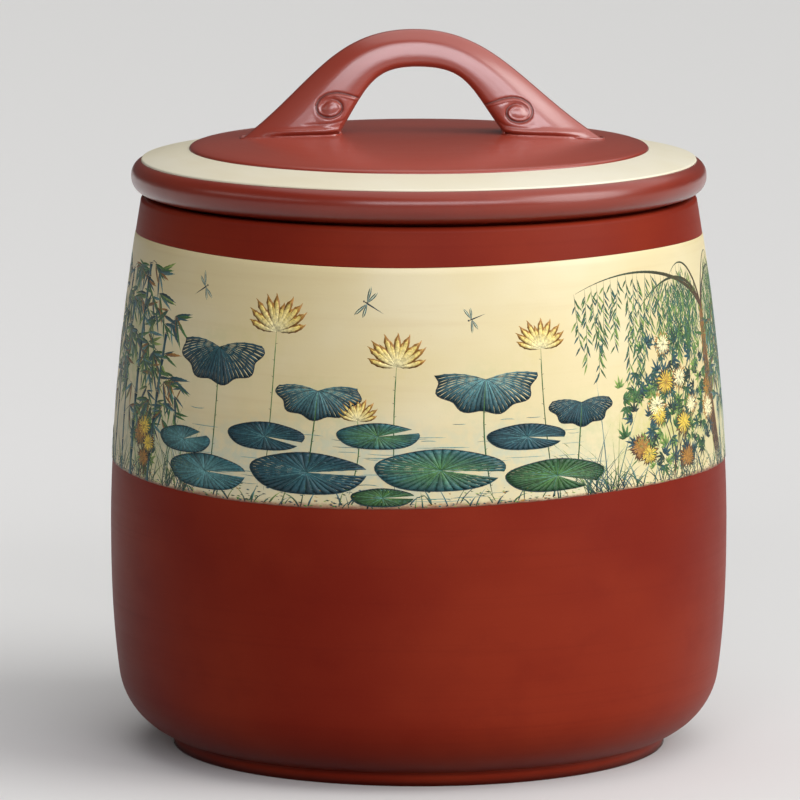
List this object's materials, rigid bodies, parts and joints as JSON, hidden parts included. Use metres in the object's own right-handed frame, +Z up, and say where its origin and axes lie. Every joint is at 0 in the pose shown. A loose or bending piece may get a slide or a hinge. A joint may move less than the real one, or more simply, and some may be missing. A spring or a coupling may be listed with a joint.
{
  "type": "tea storage jar",
  "caption": "Round lidded stoneware jar with a domed lift-off lid, bridge handle, cream slip bands and a low foot ring, for storing pressed or loose tea.",
  "frame": {"origin": "centre of the foot ring's sole, on the plane the jar stands on", "axes": "+Z up along the jar's axis, the handle runs along X, and -Y is the front"},
  "size_m": [0.25, 0.25, 0.2905],
  "materials": {
    "red_clay": "unglazed burnished red stoneware, satin",
    "cream_slip": "smooth cream slip, satin"
  },
  "bodies": {
    "jar": {"jar_body": "red_clay", "foot_ring": "red_clay", "body_slip_band": "cream_slip"},
    "lid": {"lid_plate": "red_clay", "lid_slip_ring": "cream_slip", "lid_flange": "red_clay", "lid_handle": "red_clay", "handle_scroll_front_left": "red_clay", "handle_scroll_front_right": "red_clay", "handle_scroll_back_left": "red_clay", "handle_scroll_back_right": "red_clay"}
  },
  "joints": [
    {"name": "lid_lift", "type": "slide", "parent": "jar", "child": "lid", "axis": [0, 0, 1], "range_m": [0, 0.12]}
  ]
}
